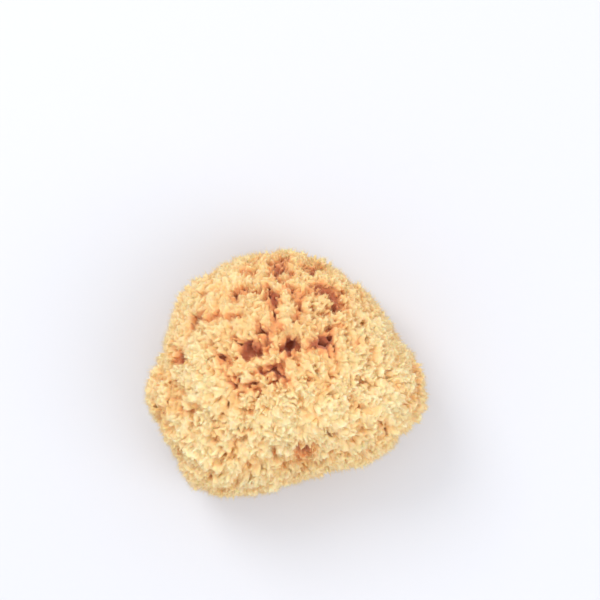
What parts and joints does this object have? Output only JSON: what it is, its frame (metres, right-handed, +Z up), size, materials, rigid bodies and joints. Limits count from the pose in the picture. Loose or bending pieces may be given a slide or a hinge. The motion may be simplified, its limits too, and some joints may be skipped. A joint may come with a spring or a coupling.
{
  "type": "sea sponge",
  "caption": "Natural bath sponge: a low, lobed cushion of soft tufted fibre with deep canal mouths on its crown, cut flat underneath.",
  "frame": {"origin": "bottom centre of the sponge's box, on the flat cut face that it rests on", "axes": "+X along the sponge's longest side, +Y across it towards the narrower end, +Z up out of the crown"},
  "size_m": [0.107, 0.095, 0.06],
  "materials": {
    "sponge": "dry, matt, honey-coloured fibre with paler tuft tips and orange-brown hollows"
  },
  "bodies": {
    "root": {"sponge": "sponge"}
  },
  "joints": []
}
